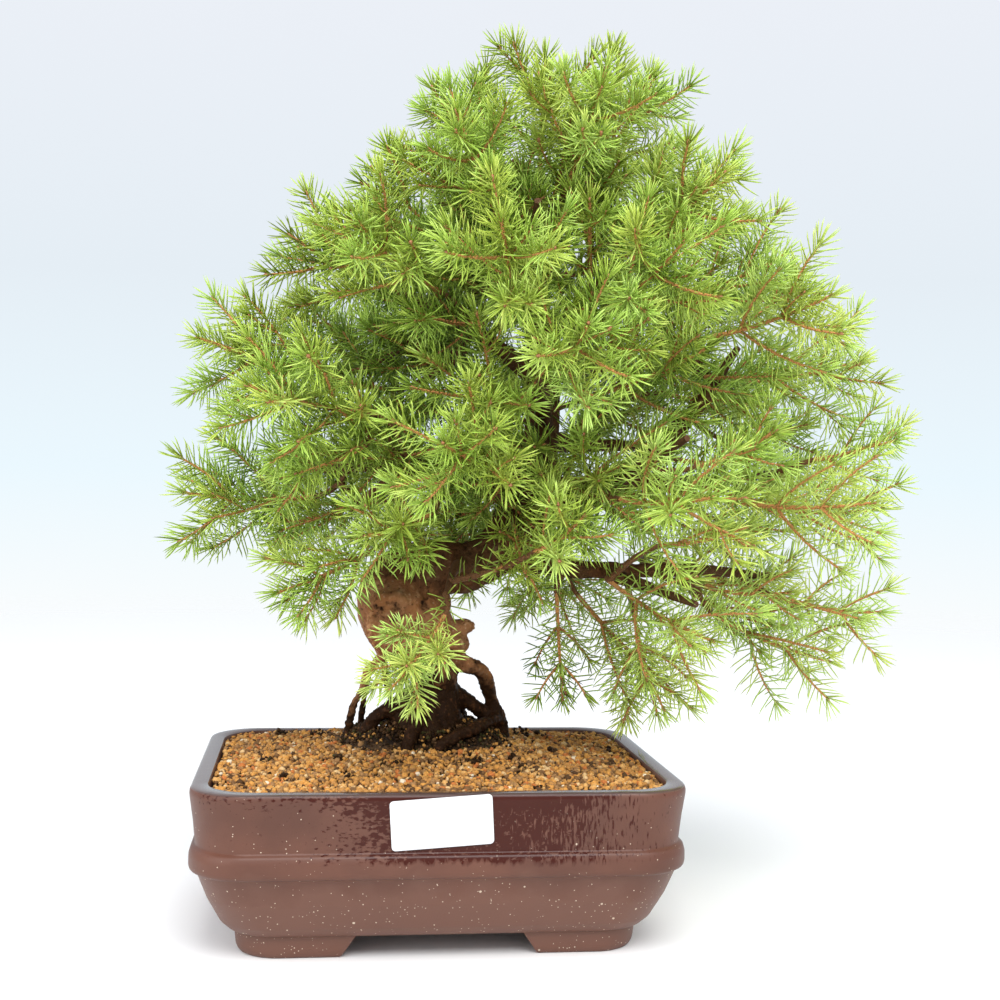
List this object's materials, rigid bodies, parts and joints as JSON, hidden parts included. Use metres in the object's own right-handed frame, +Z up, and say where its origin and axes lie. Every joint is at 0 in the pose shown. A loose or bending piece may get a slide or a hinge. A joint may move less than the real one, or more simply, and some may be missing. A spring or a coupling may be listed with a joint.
{
  "type": "spruce bonsai",
  "caption": "Spruce bonsai with a bent trunk raised on bare roots and a rounded crown of needle sprays, standing in a rectangular clay pot on corner feet.",
  "frame": {"origin": "on the surface that the pot stands on, under the middle of the whole object's box", "axes": "+Z up the tree, +X to the right along the pot's long side, -Y out of the pot's labelled front"},
  "size_m": [0.4184, 0.323, 0.487],
  "materials": {
    "clay": "unglazed purple brown clay with fine pale flecks, wet and glossy in streaks",
    "grit": "loose ochre and grey fired grit over dark soil",
    "card": "smooth white label stock",
    "bark": "rough red brown bark",
    "needles": "live green needles on orange brown twigs"
  },
  "bodies": {
    "root": {"pot": "clay", "soil": "grit", "label": "card", "trunk": "bark", "spray_01": "needles", "spray_02": "needles", "spray_03": "needles", "spray_04": "needles", "spray_05": "needles", "spray_06": "needles", "spray_07": "needles", "spray_08": "needles", "spray_09": "needles", "spray_10": "needles", "spray_11": "needles", "spray_12": "needles", "spray_13": "needles", "spray_14": "needles", "spray_15": "needles", "spray_16": "needles", "spray_17": "needles", "spray_18": "needles", "spray_19": "needles", "spray_20": "needles", "spray_21": "needles", "spray_22": "needles", "spray_23": "needles", "spray_24": "needles", "spray_25": "needles", "spray_26": "needles", "spray_27": "needles", "spray_28": "needles", "spray_29": "needles", "spray_30": "needles", "spray_31": "needles", "spray_32": "needles", "spray_33": "needles", "spray_34": "needles", "spray_35": "needles", "spray_36": "needles", "spray_37": "needles", "spray_38": "needles", "spray_39": "needles", "spray_40": "needles", "spray_41": "needles", "spray_42": "needles", "spray_43": "needles", "spray_44": "needles", "spray_45": "needles", "spray_46": "needles", "spray_47": "needles", "spray_48": "needles", "spray_49": "needles", "spray_50": "needles", "spray_51": "needles", "spray_52": "needles", "spray_53": "needles", "spray_54": "needles", "spray_55": "needles", "spray_56": "needles"}
  },
  "joints": []
}
